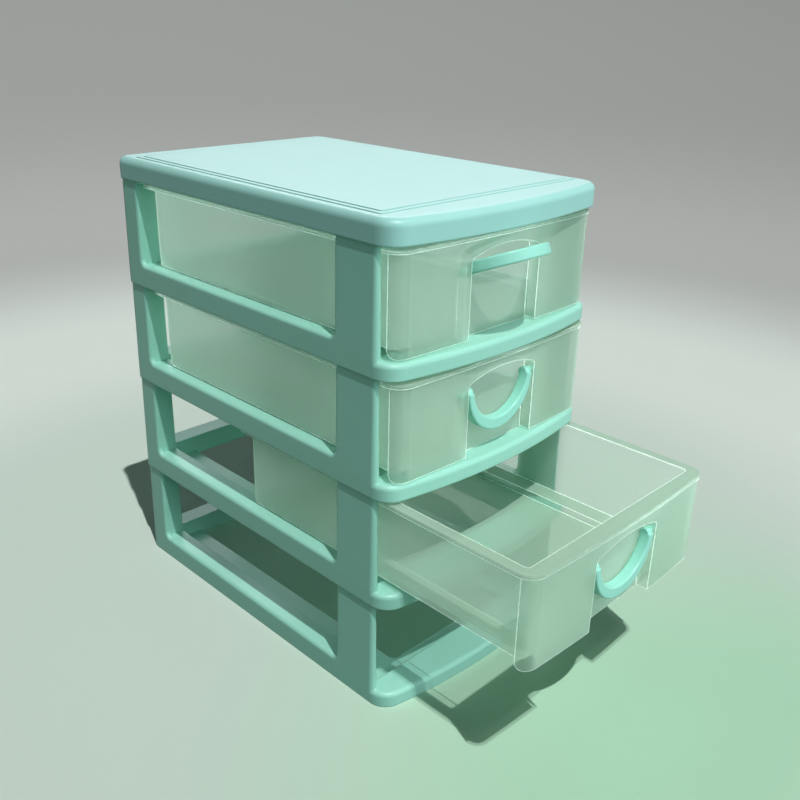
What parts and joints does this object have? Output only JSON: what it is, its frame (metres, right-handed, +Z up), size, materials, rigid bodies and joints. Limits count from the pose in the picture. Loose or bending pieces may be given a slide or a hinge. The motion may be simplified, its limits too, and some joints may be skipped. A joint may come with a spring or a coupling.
{
  "type": "mini desktop drawer cabinet",
  "caption": "Small desktop cabinet of stacked open-sided tiers under a bowed lid, with translucent drawers that slide out and bail handles that swing.",
  "frame": {"origin": "on the ground, at the middle of the lowest tier's plan, leaving out the bow of its front", "axes": "+Z up; the drawers open towards -Y; +X to the right of someone who faces the front"},
  "size_m": [0.12, 0.2445, 0.202],
  "materials": {
    "frame_plastic": "satin moulded polypropylene, mint green",
    "drawer_plastic": "frosted translucent polypropylene",
    "handle_plastic": "smooth moulded plastic, mint green"
  },
  "bodies": {
    "cabinet": {"lid": "frame_plastic", "tier_frame_1": "frame_plastic", "tier_frame_2": "frame_plastic", "tier_frame_3": "frame_plastic", "tier_frame_4": "frame_plastic"},
    "drawer_2": {"drawer_2": "drawer_plastic"},
    "drawer_3": {"drawer_3": "drawer_plastic"},
    "drawer_4": {"drawer_4": "drawer_plastic"},
    "handle_2": {"handle_2": "handle_plastic"},
    "handle_3": {"handle_3": "handle_plastic"},
    "handle_4": {"handle_4": "handle_plastic"}
  },
  "joints": [
    {"name": "drawer_2_slide", "type": "slide", "parent": "cabinet", "child": "drawer_2", "axis": [0, -1, 0], "range_m": [-0.065, 0.055]},
    {"name": "drawer_3_slide", "type": "slide", "parent": "cabinet", "child": "drawer_3", "axis": [0, -1, 0], "range_m": [-0.0018, 0.1182]},
    {"name": "drawer_4_slide", "type": "slide", "parent": "cabinet", "child": "drawer_4", "axis": [0, -1, 0], "range_m": [0, 0.12]},
    {"name": "handle_2_hinge", "type": "hinge", "parent": "drawer_2", "child": "handle_2", "pos_m": [0, -0.1522, 0.0815], "axis": [-1, 0, 0], "range_deg": [0, 112]},
    {"name": "handle_3_hinge", "type": "hinge", "parent": "drawer_3", "child": "handle_3", "pos_m": [0, -0.089, 0.1295], "axis": [-1, 0, 0], "range_deg": [0, 112]},
    {"name": "handle_4_hinge", "type": "hinge", "parent": "drawer_4", "child": "handle_4", "pos_m": [0, -0.0872, 0.1775], "axis": [-1, 0, 0], "range_deg": [-112, 0]}
  ]
}
